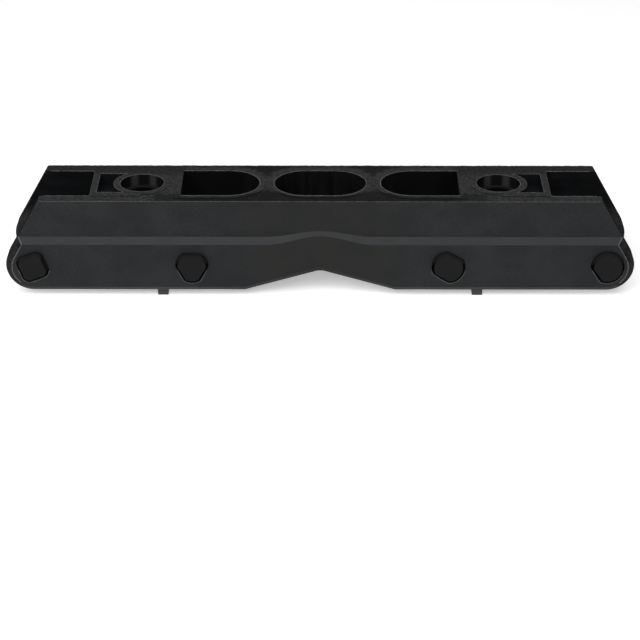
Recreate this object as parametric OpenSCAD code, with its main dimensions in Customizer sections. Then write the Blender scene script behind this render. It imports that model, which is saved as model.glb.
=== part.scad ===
// Inline skate frame: a moulded body with two walls, four keyed axles and two cross braces.
// X runs along the frame with the toe end at +X, Y runs across it, and Z points up.
// The origin lies on the floor, under the middle of the frame.

/* [Walls] */
// Distance between the outer axle centres
outer_axle_span = 265; // [252:0.1:276]
// Distance between the inner axle centres
inner_axle_span = 118.2; // [112:0.1:124]
// Radius of the walls' round ends, which is also the axles' height over the walls' lower edge
end_r = 12.4; // [11.4:0.1:13]
// Height of the walls from their lower edge to the deck
wall_h = 44.6; // [42:0.2:50]
// Clear width between the walls, where a wheel runs
wheel_gap = 29; // [27:0.2:30.4]
// Width over the lower side panels
lower_w = 45; // [44:0.2:48]
// Width over the upper side panels and the deck
upper_w = 41.8; // [40:0.2:43]
// Length of the deck along its top edge
deck_len = 257; // [246:0.2:264]

/* [Side panels] */
// Height of the lower panel's flat face over the walls' lower edge
face_h = 23.4; // [22:0.2:25]
// Height of the sloped band between the lower and the upper panel
band_h = 3.4; // [2.4:0.1:4.5]
// Rise of the band over the middle of the groove
band_rise = 2.9; // [1:0.1:4]
// Half the length of that rise
band_rise_len = 25; // [20:0.5:30]
// How far the lower panel draws in at the middle
waist = 0.6; // [0.1:0.1:1.2]
// Bevel along the lower edge of the lower panel
panel_bevel = 2; // [1:0.1:2.6]
// Bevel of the lower panel's sloping ends, which the bevel grows to round the end
end_bevel = 3.2; // [2:0.1:3.6]

/* [Groove] */
// Length of the V-shaped groove at its mouth
groove_len = 69.6; // [64:0.2:72]
// Height of the groove at its apex
groove_h = 9.7; // [8:0.1:11]
// Width of the flat at the apex
groove_flat = 2.7; // [1:0.1:4]
// Radius of the hollow that runs along both faces of the groove
hollow_r = 17.7; // [16:0.1:18.5]
// How far the hollow's axis lies below the faces of the groove
hollow_drop = 6.2; // [5.4:0.1:7.5]

/* [Deck] */
// Distance between the two boot bolts
bolt_span = 165; // [160:0.5:170]
// Radius of the bolt recesses
recess_r = 10.3; // [9:0.1:11]
// Depth of the bolt recesses
recess_depth = 5.4; // [3:0.1:6.5]
// Wall of the raised ring round each recess
ring_wall = 2.9; // [2:0.1:3.4]
// Thickness of the deck where the boot bolts pass
mount_deck_t = 9.4; // [8:0.1:12]
// Distance from the middle to the inner edge of that deck
mount_deck_start = 64; // [62:0.2:66]
// Distance from the middle to the outer face of the rib at the end of that deck
rib_end = 105.6; // [104:0.2:109]
// Thickness of the rib
rib_t = 2.8; // [2:0.1:4]
// Height of the rib, from the deck down
rib_h = 13; // [12.4:0.2:20]
// Length of the bolt slots
slot_len = 8.2; // [7.4:0.1:10]
// Width of the bolt slots
slot_w = 6.8; // [6.2:0.1:7.2]
// Width of the small pocket between the ring and the rib
side_pocket_w = 21.8; // [16:0.2:24]
// Depth of the small pocket
side_pocket_depth = 5.8; // [3:0.1:6.8]
// Corner radius of the end wells beside the ribs
well_corner_r = 1.2; // [0.6:0.1:2]
// Corner radius of the hollow under the deck
under_corner_r = 2.5; // [1:0.1:4]
// Half length of the blind pocket in the middle of the deck
mid_pocket_half = 21.4; // [18:0.2:23]
// Depth of the middle pocket
mid_pocket_depth = 18; // [12:0.2:18.6]
// Distance from the middle to a wheel well's round end at the deck
well_top_start = 27.8; // [27:0.2:30]
// Distance from the middle to a wheel well's round end at the walls' lower edge
well_low_start = 34.5; // [33:0.2:38]
// Width of the raised rim round the wheel wells
well_rim = 3.2; // [2:0.1:4]
// Width of the raised rim round the middle pocket
mid_rim = 2.2; // [1.2:0.1:3]
// Width of the raised pad between each bolt recess and its rib
pad_w = 30; // [28:0.2:34]
// Depth of the low areas between the rims
relief_depth = 0.2; // [0.1:0.1:1]

/* [Axles] */
// Diameter of the axle shafts
axle_d = 8; // [7:0.1:8.4]
// Diameter of the thread between an axle and its screw
thread_d = 6; // [5:0.1:6.4]
// Length of the screw's thread
thread_len = 12; // [8:0.5:15]
// Depth of the seats for the heads in the outer faces of the walls
seat_depth = 2; // [1.4:0.1:2.6]
// Radius of the keyed heads
key_r = 7.5; // [7:0.1:7.8]
// Distance from the axle to the flats of the keyed heads
key_flat = 6.3; // [6.1:0.05:6.6]
// Thickness of the keyed heads
key_t = 3.9; // [3.2:0.1:5]
// Depth of the socket in a keyed head that takes the axle's end
key_socket = 2.4; // [1.6:0.1:2.8]
// Radius of the screw heads
screw_head_r = 6.4; // [6.1:0.1:7]
// Thickness of the screw heads
screw_head_t = 3.2; // [2.6:0.1:4]
// Chamfer on the screw heads
screw_head_bevel = 0.9; // [0.4:0.1:1.2]
// Width across the flats of the screws' hexagon sockets
hex_w = 4; // [3:0.1:5]
// Depth of the hexagon sockets
hex_depth = 2; // [1:0.1:2.4]

/* [Bushes] */
// Outer radius of the bush barrels
bush_r = 5.5; // [5:0.1:5.9]
// Radius of the bush flange where it meets the wall
flange_r = 7; // [6.4:0.1:7.6]
// Radius of the bush flange at its tip
flange_tip_r = 5; // [4.7:0.1:5.8]
// Height of the bush flange
flange_h = 1.8; // [1:0.1:2.4]

/* [Cross braces] */
// Distance between the two braces
brace_span = 146; // [142:0.2:150]
// Width of a brace along the frame
brace_w = 4.9; // [4.2:0.1:6]
// Thickness of a brace below the walls
brace_t = 3.8; // [3:0.1:6]
// How far a brace's ends lie inside the lower panels' outer faces
brace_setback = 3.35; // [2.4:0.05:5]
// Height of the tongue between the walls
tongue_h = 15; // [10:0.5:20]
// Thickness of the tongue along the frame
tongue_t = 3.2; // [2:0.1:3.8]

/* [Fits] */
// Radial clearance of the axles in the bushes and of the screws in the axles
running_gap = 0.05; // [0.02:0.01:0.09]
// Radial clearance of pressed pieces
press_gap = 0.02; // [0.01:0.01:0.04]
// Clearance round the heads in their seats
seat_gap = 0.25; // [0.15:0.05:0.35]
// Clearance between a piece's end and the bottom of its hole
end_gap = 0.3; // [0.2:0.1:0.6]
// Clearance of a brace's tongue on each side
tongue_gap = 0.1; // [0.05:0.05:0.3]

/* [Hidden] */
$fn = 64;
// Spare length by which a cutting shape runs past the solid
past = 2;
// Steps of the arc at a wall's end, of a round pocket end and of the band's rise
end_steps = 16;
pocket_steps = 24;
rise_steps = 10;

outer_x = outer_axle_span / 2;
inner_x = inner_axle_span / 2;
bolt_x = bolt_span / 2;
brace_x = brace_span / 2;
gap_half = wheel_gap / 2;
lower_half = lower_w / 2;
upper_half = upper_w / 2;
panel_depth = lower_half - upper_half;
band_top = face_h + band_h;
groove_half = groove_len / 2;
groove_slope = groove_h / (groove_half - groove_flat / 2);
groove_angle = atan(groove_slope);
wall_z = brace_t;
axle_z = wall_z + end_r;
deck_z = wall_z + wall_h;
mount_deck_z = deck_z - mount_deck_t;
seat_y = lower_half - seat_depth;
ring_r = recess_r + ring_wall;
// Angle of the sloping wall ends: each runs from the deck's corner as a tangent to the round end
corner_dx = outer_x - deck_len / 2;
corner_dz = wall_h - end_r;
end_lean = asin(end_r / norm([corner_dx, corner_dz])) + atan2(corner_dx, corner_dz);
// Centres of the wheel wells' round ends at the deck and at the walls' lower edge
well_top_x = well_top_start + gap_half;
well_low_x = well_low_start + gap_half;

frame_colour = [0.17, 0.18, 0.19];
brace_colour = [0.22, 0.22, 0.22];
steel_colour = [0.60, 0.60, 0.62];
head_colour = [0.11, 0.12, 0.11];

// Each axle station: its name, its place along X, and the angles of the flats on its keyed head
STATIONS = [
    ["toe_outer", outer_x, [215]],
    ["toe_inner", inner_x, [60, 240]],
    ["heel_inner", -inner_x, [90, 210, 330]],
    ["heel_outer", -outer_x, [20, 110, 200, 290]]
];
// Sides of the frame: name and direction along Y
SIDES = [["left", 1], ["right", -1]];
// Ends of the frame: name and direction along X
ENDS = [["toe", 1], ["heel", -1]];

// Points of an arc about a centre, from angle a0 to angle a1
function arc(centre, r, a0, a1, steps) =
    [for (k = [0:steps]) let (a = a0 + (a1 - a0) * k / steps) centre + r * [cos(a), sin(a)]];

// Height of the walls' lower edge over the groove, and the share of the band's rise, at x
function groove_z(x) = max(0, min(groove_h, (groove_half - abs(x)) * groove_slope));
function rise(x) = abs(x) < band_rise_len ? (1 + cos(180 * x / band_rise_len)) / 2 : 0;
// Depth of the lower panel over the upper one at x
function depth(x) = panel_depth - waist * rise(x);
// Width of the bevel at step k of the arc round a wall's end
function end_cut(k) = panel_bevel + (end_bevel - panel_bevel) * k / end_steps;
// X of the sloping wall end at height z, set in by inset
function end_x(z, inset) = outer_x + (end_r - inset - (z - end_r) * sin(end_lean)) / cos(end_lean);

// Places along X, from the middle outwards, where the panel's rise and waist are worked out
mid_x = concat([0, groove_flat / 2], [for (k = [1:rise_steps]) band_rise_len * k / rise_steps]);
mid_count = len(mid_x);

// Half of the panel's rim from the middle of the lower edge round the end to the middle of the band,
// as [x, depth, z]: the base on the upper panel's plane, then the edge of the flat face
function panel_base() = concat(
    [for (x = mid_x) [x, 0, groove_z(x)]],
    [[groove_half, 0, 0]],
    [for (p = arc([outer_x, end_r], end_r, -90, end_lean, end_steps)) [p[0], 0, p[1]]],
    [[end_x(band_top, 0), 0, band_top]],
    [for (k = [mid_count - 1:-1:0]) [mid_x[k], 0, band_top + band_rise * rise(mid_x[k])]]
);
function panel_face() = concat(
    [for (x = mid_x) [x, depth(x), groove_z(x) + panel_bevel]],
    [[groove_half, panel_depth, panel_bevel]],
    [for (k = [0:end_steps])
        let (p = arc([outer_x, end_r], end_r - end_cut(k), -90, end_lean, end_steps)[k])
        [p[0], panel_depth, p[1]]],
    [[end_x(face_h, end_bevel), panel_depth, face_h]],
    [for (k = [mid_count - 1:-1:0]) let (x = mid_x[k])
        [x, depth(x), band_top + band_rise * rise(x) - band_h * depth(x) / panel_depth]]
);
// A half rim and its mirror image, as one closed loop
function both_halves(half) =
    concat(half, [for (k = [len(half) - 2:-1:1]) [-half[k][0], half[k][1], half[k][2]]]);

// The lower side panel that stands on the upper panel's plane at depth 0
module side_panel() {
    half = len(panel_base());
    loop = 2 * half - 2;
    last = mid_count - 1;
    face_polygons = concat(
        [[for (k = [last:half - 1 - last]) k]],
        [[for (k = [half - 1 + last:loop - last]) k]],
        [for (k = [0:last - 1]) [k, k + 1, half - 2 - k, half - 1 - k]],
        [for (k = [0:last - 1]) [loop - 1 - k, (loop - k) % loop, half - 1 + k, half + k]]
    );
    rim = [for (k = [0:loop - 1]) let (n = (k + 1) % loop)
        each [[k, n, n + loop], [k, n + loop, k + loop]]];
    polyhedron(
        concat(both_halves(panel_base()), both_halves(panel_face())),
        concat(
            [for (f = face_polygons) [for (k = [len(f) - 1:-1:0]) f[k]]],
            [for (f = face_polygons) [for (k = f) k + loop]],
            rim
        )
    );
}

// Side outline of the walls, extruded to the width of the upper panels
module wall_block() {
    right = concat(
        [[groove_flat / 2, groove_h], [groove_half, 0]],
        arc([outer_x, end_r], end_r, -90, end_lean, end_steps),
        [[end_x(band_top, 0), band_top], [deck_len / 2, wall_h]]
    );
    left = [for (k = [len(right) - 1:-1:0]) [-right[k][0], right[k][1]]];
    rotate([90, 0, 0]) linear_extrude(upper_w, center = true) polygon(concat(right, left));
}

// Flat outline of a wheel well: a round end of radius r about x0, and a square end at the mount deck
function well_outline(x0, r) = concat(
    arc([x0, 0], r, 90, 270, pocket_steps),
    [[mount_deck_start, -r], [mount_deck_start, r]]
);
// The same outline at height z, with its round end moved along by the lean of the well
function well_ring(z) =
    let (x0 = well_low_x + (well_top_x - well_low_x) * (z - wall_z) / wall_h)
    [for (p = well_outline(x0, gap_half)) [p[0], p[1], z]];

// Flat outline with two round ends, whose centres lie at -x0 and x0
module pill_outline(x0, r) {
    polygon(concat(arc([-x0, 0], r, 90, 270, pocket_steps), arc([x0, 0], r, -90, 90, pocket_steps)));
}

// Repeats a shape made for the toe end at both ends of the frame
module at_both_ends() {
    for (e = ENDS) mirror([e[1] < 0 ? 1 : 0, 0, 0]) children();
}

// Cut for a wheel well: its round end leans, and its other end stops at the mount deck
module wheel_well() {
    low = well_ring(-past);
    count = len(low);
    polyhedron(
        concat(low, well_ring(deck_z + past)),
        concat(
            [[for (k = [0:count - 1]) k], [for (k = [count - 1:-1:0]) k + count]],
            [for (k = [0:count - 1]) let (n = (k + 1) % count)
                each [[k, k + count, n + count], [k, n + count, n]]]
        )
    );
}

// Cut for the hollow under the mount deck, up to the rib, and the opening under the rib
module under_deck() {
    inner_end = inner_x;
    rib_start = rib_end - rib_t;
    far = rib_start - under_corner_r;
    side = gap_half - under_corner_r;
    translate([0, 0, -past]) linear_extrude(mount_deck_z + past) polygon(concat(
        [[inner_end, gap_half], [inner_end, -gap_half]],
        arc([far, -side], under_corner_r, -90, 0, end_steps),
        arc([far, side], under_corner_r, 0, 90, end_steps)
    ));
    translate([inner_end, -gap_half, -past])
        cube([rib_end + past - inner_end, wheel_gap, deck_z - rib_h + past]);
}

// Cut for the open end of the frame beyond the rib, with its corners at the rib rounded
module end_well() {
    corner = [rib_end + well_corner_r, gap_half - well_corner_r];
    translate([0, 0, -past]) linear_extrude(deck_z + 2 * past) polygon(concat(
        [[rib_end + outer_x, gap_half]],
        arc(corner, well_corner_r, 90, 180, end_steps),
        arc([corner[0], -corner[1]], well_corner_r, 180, 270, end_steps),
        [[rib_end + outer_x, -gap_half]]
    ));
}

// Cut for the hollow along one face of the groove
module groove_hollow() {
    intersection() {
        translate([0, 0, wall_z + groove_h - hollow_drop]) rotate([0, 90 + groove_angle, 0])
            cylinder(r = hollow_r, h = 3 * groove_len, center = true);
        translate([0, -lower_w, -groove_len]) cube([groove_len, 2 * lower_w, 2 * groove_len]);
    }
}

// Cuts in one mount deck: bolt recess, bolt slot and the small pocket beside the ring
module bolt_seat() {
    half_slot = (slot_len - slot_w) / 2;
    translate([bolt_x, 0, deck_z - recess_depth]) cylinder(r = recess_r, h = recess_depth + past);
    for (dx = [-half_slot, half_slot])
        translate([bolt_x + dx, 0, mount_deck_z - past]) cylinder(d = slot_w, h = mount_deck_t);
    translate([bolt_x - half_slot, -slot_w / 2, mount_deck_z - past])
        cube([2 * half_slot, slot_w, mount_deck_t]);
    difference() {
        translate([bolt_x, -side_pocket_w / 2, deck_z - side_pocket_depth])
            cube([rib_end - rib_t - bolt_x, side_pocket_w, side_pocket_depth + past]);
        translate([bolt_x, 0, 0]) cylinder(r = ring_r, h = 2 * deck_z);
    }
}

// Cut for the low areas of the deck between the raised rims
module deck_relief() {
    translate([0, 0, deck_z - relief_depth]) linear_extrude(relief_depth + past) difference() {
        square([2 * outer_axle_span, 2 * lower_w], center = true);
        pill_outline(mid_pocket_half - gap_half, gap_half + mid_rim);
        at_both_ends() {
            polygon(well_outline(well_top_x, gap_half + well_rim));
            translate([mount_deck_start - past, -gap_half - well_rim])
                square([well_rim + past, wheel_gap + 2 * well_rim]);
            translate([bolt_x, 0]) circle(ring_r);
            translate([bolt_x, -pad_w / 2]) square([rib_end - bolt_x, pad_w]);
        }
    }
}

// Turns a shape made along Z so that it runs along +Y or -Y at an axle station
module at_axle(x, direction) {
    translate([x, 0, axle_z]) rotate([-90 * direction, 0, 0]) children();
}

// Flat outline of a keyed head: a disc with a flat at each angle, grown by grow
module key_outline(flats, grow) {
    reach = key_r + grow;
    difference() {
        circle(reach);
        for (a = flats) rotate(a) translate([key_flat + grow, -reach]) square(2 * reach);
    }
}

// Cuts for one axle station: the bush bores, the keyed seat and the round seat
module axle_cuts(station) {
    at_axle(station[1], 1) {
        cylinder(r = bush_r + press_gap, h = lower_w + past, center = true);
        translate([0, 0, seat_y]) cylinder(r = screw_head_r + seat_gap, h = seat_depth + past);
    }
    at_axle(station[1], -1) translate([0, 0, seat_y]) linear_extrude(seat_depth + past)
        key_outline(station[2], seat_gap);
}

module frame_body() color(frame_colour) difference() {
    translate([0, 0, wall_z]) {
        wall_block();
        for (m = [0, 1]) mirror([0, m, 0]) translate([0, upper_half, 0]) side_panel();
    }
    at_both_ends() wheel_well();
    at_both_ends() under_deck();
    at_both_ends() end_well();
    at_both_ends() groove_hollow();
    at_both_ends() bolt_seat();
    translate([0, 0, deck_z - mid_pocket_depth]) linear_extrude(mid_pocket_depth + past)
        pill_outline(mid_pocket_half - gap_half, gap_half);
    deck_relief();
    for (s = STATIONS) axle_cuts(s);
}

// Brace across the walls' lower edges, with its tongue between the walls. The tongue leaves room for the
// bushes of the inner axle, so that the brace pulls straight down past them.
module cross_brace(direction) color(brace_colour) {
    brace_len = lower_w - 2 * brace_setback;
    tongue_w = wheel_gap - 2 * tongue_gap;
    bush_room = flange_r + end_gap;
    mirror([direction < 0 ? 1 : 0, 0, 0]) difference() {
        translate([brace_x - brace_w / 2, 0, 0]) union() {
            translate([0, -brace_len / 2, 0]) cube([brace_w, brace_len, brace_t]);
            translate([0, -tongue_w / 2, 0]) cube([tongue_t, tongue_w, brace_t + tongue_h]);
        }
        translate([inner_x - bush_room, -gap_half, axle_z - bush_room])
            cube([2 * bush_room, wheel_gap, deck_z]);
    }
}

// Axle shaft from the socket of its keyed head to just short of the screw head's seat
module axle(x) color(steel_colour) at_axle(x, 1) difference() {
    shaft_start = -seat_y - key_socket;
    shaft_end = seat_y - end_gap;
    translate([0, 0, shaft_start]) cylinder(d = axle_d, h = shaft_end - shaft_start);
    translate([0, 0, seat_y - thread_len - end_gap])
        cylinder(r = thread_d / 2 + running_gap, h = thread_len + past);
}

// Keyed head that sits in its seat and is pressed on the axle's end
module key_head(x, flats) color(head_colour) at_axle(x, -1) translate([0, 0, seat_y]) difference() {
    linear_extrude(key_t) key_outline(flats, 0);
    translate([0, 0, -past]) cylinder(r = axle_d / 2 + press_gap, h = key_socket + past);
}

// Screw with a bevelled round head and a hexagon socket, which goes into the axle's end
module axle_screw(x) color(head_colour) at_axle(x, 1) translate([0, 0, seat_y]) difference() {
    rotate_extrude() polygon([
        [0, -thread_len],
        [thread_d / 2, -thread_len],
        [thread_d / 2, 0],
        [screw_head_r, 0],
        [screw_head_r, screw_head_t - screw_head_bevel],
        [screw_head_r - screw_head_bevel, screw_head_t],
        [0, screw_head_t]
    ]);
    translate([0, 0, screw_head_t - hex_depth])
        cylinder(d = hex_w / cos(30), h = hex_depth + past, $fn = 6);
}

// Flanged bush pressed into a wall from its inner face
module bush(x, direction) color(steel_colour) at_axle(x, direction) {
    bore_r = axle_d / 2 + running_gap;
    rotate_extrude() polygon([
        [bore_r, gap_half - flange_h],
        [flange_tip_r, gap_half - flange_h],
        [flange_r, gap_half],
        [bush_r, gap_half],
        [bush_r, seat_y - end_gap],
        [bore_r, seat_y - end_gap]
    ]);
}

frame_body();
for (e = ENDS) {
    cross_brace(e[1]);
}
for (s = STATIONS) {
    axle(s[1]);
    key_head(s[1], s[2]);
    axle_screw(s[1]);
    for (side = SIDES) {
        bush(s[1], side[1]);
    }
}
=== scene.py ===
"""Looks of the inline skate frame: a moulded black body, polished axles in conical bushes, keyed heads,
round screws and two rough cross braces, on a pale floor in a white room. Lengths are in metres, in the frame
of the model."""

import math

import bmesh
import bpy
import numpy as np
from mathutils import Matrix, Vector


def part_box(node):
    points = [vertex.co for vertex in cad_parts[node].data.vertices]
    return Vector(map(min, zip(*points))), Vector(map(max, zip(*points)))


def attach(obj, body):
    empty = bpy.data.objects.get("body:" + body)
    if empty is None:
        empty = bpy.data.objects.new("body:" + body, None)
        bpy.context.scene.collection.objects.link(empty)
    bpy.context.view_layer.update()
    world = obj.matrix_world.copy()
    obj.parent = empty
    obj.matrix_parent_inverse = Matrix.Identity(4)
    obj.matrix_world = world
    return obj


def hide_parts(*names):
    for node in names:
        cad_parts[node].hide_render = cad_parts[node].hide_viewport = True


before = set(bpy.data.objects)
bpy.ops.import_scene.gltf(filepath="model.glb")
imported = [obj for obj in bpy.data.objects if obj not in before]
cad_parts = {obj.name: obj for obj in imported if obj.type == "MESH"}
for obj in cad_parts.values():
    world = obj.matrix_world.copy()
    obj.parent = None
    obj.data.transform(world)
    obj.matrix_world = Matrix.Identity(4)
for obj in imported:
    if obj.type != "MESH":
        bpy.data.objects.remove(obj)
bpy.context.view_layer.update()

MM = 0.001
UP = (0, 0, 1)
STATIONS = ("toe_outer", "toe_inner", "heel_inner", "heel_outer")
SIDES = (("left", 1), ("right", -1))
ENDS = ("toe", "heel")
# Angles of the flats on each keyed head, seen from the front
HEAD_FLATS = {
    "toe_outer": (215,),
    "toe_inner": (60, 240),
    "heel_inner": (90, 210, 330),
    "heel_outer": (20, 110, 200, 290),
}


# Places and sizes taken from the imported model
def reach(node):
    """Lowest and highest corner of a node's box, as arrays."""
    low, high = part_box(node)
    return np.array(low), np.array(high)


def middle(node):
    """Middle of a node's box along X, Y and Z."""
    low, high = reach(node)
    return (low + high) / 2


BODY_LOW, BODY_HIGH = reach("frame_body")
DECK_Z = BODY_HIGH[2]
WALL_Z = BODY_LOW[2]
AXLE_Z = middle("axle_toe_outer")[2]
OUTER_X = middle("axle_toe_outer")[0]
PANEL_Y = BODY_HIGH[1]
END_R = AXLE_Z - WALL_Z
# Sizes of the deck, which the burrs and the wear follow
GAP_HALF = 14.5 * MM
DECK_HALF_LEN = 128.5 * MM
DECK_HALF_W = 20.9 * MM
RELIEF = 0.2 * MM
WELL_X = 42.3 * MM
WELL_END = 64 * MM
POCKET_X = 6.9 * MM
BOLT_X = 82.5 * MM
RECESS_R = 10.3 * MM
RING_R = 13.2 * MM
SIDE_POCKET_HALF = 10.9 * MM
RIB_IN = 102.8 * MM
RIB_OUT = 105.6 * MM
END_CORNER_R = 1.2 * MM
# Sizes of the panels
PANEL_BEVEL = 2.0 * MM
END_BEVEL = 3.2 * MM
FACE_TOP = WALL_Z + 23.4 * MM
BAND_TOP = WALL_Z + 26.8 * MM

# Meshes
SMOOTH_BELOW = math.radians(32)
BURR_SMOOTH_BELOW = math.radians(60)


def make_object(name, vertices, faces, smooth_below=SMOOTH_BELOW):
    """A mesh object at the origin, with edges sharper than the given angle marked sharp."""
    mesh = bpy.data.meshes.new(name)
    mesh.from_pydata(vertices.tolist(), [], faces)
    mesh.validate()
    obj = bpy.data.objects.new(name, mesh)
    bpy.context.scene.collection.objects.link(obj)
    shell = bmesh.new()
    shell.from_mesh(mesh)
    bmesh.ops.recalc_face_normals(shell, faces=shell.faces)
    for edge in shell.edges:
        edge.smooth = edge.calc_face_angle(0) < smooth_below
    for face in shell.faces:
        face.smooth = True
    shell.to_mesh(mesh)
    shell.free()
    return obj


def grid_faces(rows, columns, wrap_rows=False):
    """Quads between neighbouring rows of a grid whose columns close on themselves."""
    row = np.arange(rows if wrap_rows else rows - 1)[:, None]
    column = np.arange(columns)[None, :]
    next_row = (row + 1) % rows
    next_column = (column + 1) % columns
    corners = (
        row * columns + column,
        row * columns + next_column,
        next_row * columns + next_column,
        next_row * columns + column,
    )
    return np.stack(np.broadcast_arrays(*corners), axis=-1).reshape(-1, 4).tolist()


def shell_with_poles(name, rows, first_pole, last_pole):
    """A closed shell: a grid of rings, with a fan of triangles to a pole at each end."""
    count, columns, _ = rows.shape
    vertices = np.vstack([rows.reshape(-1, 3), first_pole, last_pole])
    here = np.arange(columns)
    there = (here + 1) % columns
    last = (count - 1) * columns
    first_fan = np.stack([np.full(columns, count * columns), there, here], axis=-1)
    last_fan = np.stack([np.full(columns, count * columns + 1), last + here, last + there], axis=-1)
    faces = grid_faces(count, columns) + first_fan.tolist() + last_fan.tolist()
    return make_object(name, vertices, faces)


def closed_ring(name, rows):
    """A closed ring: a grid whose rows and columns both close on themselves."""
    count, columns, _ = rows.shape
    return make_object(name, rows.reshape(-1, 3), grid_faces(count, columns, wrap_rows=True))


def eased(profile, cut, steps=4, closed=False):
    """The profile with each corner replaced by a quadratic curve, which has the corner as its control. It
    runs from a point on the side before the corner to a point on the side after it, both at the distance
    cut, or nearer on a short side."""
    most_of_side = 0.4
    points = np.asarray(profile, float)
    if closed:
        before, corner, after = np.roll(points, 1, axis=0), points, np.roll(points, -1, axis=0)
    else:
        before, corner, after = points[:-2], points[1:-1], points[2:]

    def towards(other):
        side = other - corner
        length = np.linalg.norm(side, axis=1)
        return corner + side * np.minimum(cut / length, most_of_side)[:, None]

    t = np.linspace(0, 1, steps + 1)[None, :, None]
    start, end = towards(before)[:, None], towards(after)[:, None]
    curve = (1 - t) ** 2 * start + 2 * t * (1 - t) * corner[:, None] + t**2 * end
    curve = curve.reshape(-1, 2)
    return curve if closed else np.vstack([points[:1], curve, points[-1:]])


def turns(columns):
    """Shares of a turn, from 0 up to 1, one for each column."""
    return np.arange(columns) / columns


def around_axle(x, radius, y):
    """Rings about an axle at x: a radius for each row and angle, and a place along Y for each row and
    angle."""
    angle = turns(radius.shape[1]) * 2 * math.pi
    return np.stack([x + radius * np.cos(angle), y, AXLE_Z + radius * np.sin(angle)], axis=-1)


def lathe_rows(x, profile, columns):
    """A profile of (radius, y) turned about the axle at x."""
    radius = np.repeat(profile[:, :1], columns, axis=1)
    y = np.repeat(profile[:, 1:], columns, axis=1)
    return around_axle(x, radius, y)


def merged_copy(name, node):
    """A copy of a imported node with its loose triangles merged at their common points."""
    digits = 7
    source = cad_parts[node].data
    points = np.zeros(len(source.vertices) * 3)
    source.vertices.foreach_get("co", points)
    corners = np.zeros(len(source.loops), int)
    source.loops.foreach_get("vertex_index", corners)
    merged, index = np.unique(np.round(points.reshape(-1, 3), digits), axis=0, return_inverse=True)
    triangles = index.reshape(-1)[corners].reshape(-1, 3)
    distinct = (np.diff(np.sort(triangles, axis=1), axis=1) > 0).all(axis=1)
    return make_object(name, merged, triangles[distinct].tolist())


def step_height(face):
    """Height of an upright face along Z, or infinity for a face that leans or lies flat."""
    most_lean = 0.1
    if abs(face.normal.z) > most_lean:
        return math.inf
    heights = [vertex.co.z for vertex in face.verts]
    return max(heights) - min(heights)


def softened(name, node, width, segments=2):
    """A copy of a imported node: its flat faces joined, and its edges rounded where they are sharper than a
    limit, except along steps that are too low for the rounding."""
    flat_within, sharp_from = math.radians(0.5), math.radians(25)
    obj = merged_copy(name, node)
    shell = bmesh.new()
    shell.from_mesh(obj.data)
    bmesh.ops.dissolve_limit(
        shell, angle_limit=flat_within, verts=shell.verts, edges=shell.edges, use_dissolve_boundaries=False
    )
    weight = shell.edges.layers.float.new("bevel_weight_edge")
    low_steps = {face for face in shell.faces if step_height(face) < 2 * width}
    for edge in shell.edges:
        on_step = any(face in low_steps for face in edge.link_faces)
        sharp = edge.calc_face_angle(0) > sharp_from
        edge[weight] = 1.0 if sharp and not on_step else 0.0
    shell.to_mesh(obj.data)
    shell.free()
    bevel = obj.modifiers.new("rounded_edges", "BEVEL")
    bevel.width = width
    bevel.segments = segments
    bevel.limit_method = "WEIGHT"
    bevel.harden_normals = True
    bevel.use_clamp_overlap = True
    return obj


# Burrs
BURR_STEP = 0.6 * MM
BURR_SIDES = 8
DECK_SEED = 11
PANEL_SEED = 12


def resampled(path, step, closed):
    """Points spaced evenly along a path, interpolated along its running length."""
    fewest = 12
    points = np.vstack([path, path[:1]]) if closed else np.asarray(path)
    pieces = np.linalg.norm(np.diff(points, axis=0), axis=1)
    along = np.concatenate([[0], np.cumsum(pieces)])
    count = max(fewest, int(round(along[-1] / step)))
    at = np.linspace(0, along[-1], count, endpoint=not closed)
    return np.stack([np.interp(at, along, points[:, k]) for k in range(3)], axis=-1)


def wander(draw, count, closed):
    """Smooth random values from 0 to 1: random numbers averaged with their neighbours."""
    values = draw.random(count)
    near = np.roll(values, 1) if closed else np.concatenate([values[:1], values[:-1]])
    far = np.roll(values, -1) if closed else np.concatenate([values[1:], values[-1:]])
    return 0.5 * values + 0.25 * (near + far)


def burr(path, up, width, height, ragged, draw, closed=True):
    """An ellipse carried along a path with its middle on the path, so that half of it stands out as a
    ridge. Its height and width are scaled by smooth random values: 1 less ragged times a value from 0 to
    1."""
    points = resampled(path, BURR_STEP, closed)
    count = len(points)
    up = np.asarray(up, float)
    if closed:
        along = np.roll(points, -1, axis=0) - np.roll(points, 1, axis=0)
    else:
        along = np.gradient(points, axis=0)
    side = np.cross(along, up)
    side /= np.linalg.norm(side, axis=1)[:, None]
    scale = 1 - ragged * wander(draw, count, closed)
    sway = (wander(draw, count, closed) - 0.5) * ragged * width
    angle = turns(BURR_SIDES) * 2 * math.pi
    across = (width * scale)[:, None] * np.cos(angle) + sway[:, None]
    out = (height * scale)[:, None] * np.sin(angle)
    rows = points[:, None] + across[..., None] * side[:, None] + out[..., None] * up
    faces = grid_faces(count, BURR_SIDES, wrap_rows=closed)
    if not closed:
        last = (count - 1) * BURR_SIDES
        faces += [list(range(BURR_SIDES)), list(range(last, last + BURR_SIDES))]
    return rows.reshape(-1, 3), faces


def joined(name, shells):
    """One object from several closed shells."""
    vertices, faces, start = [], [], 0
    for points, polygons in shells:
        vertices.append(points)
        faces += [[corner + start for corner in polygon] for polygon in polygons]
        start += len(points)
    return make_object(name, np.vstack(vertices), faces, BURR_SMOOTH_BELOW)


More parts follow.
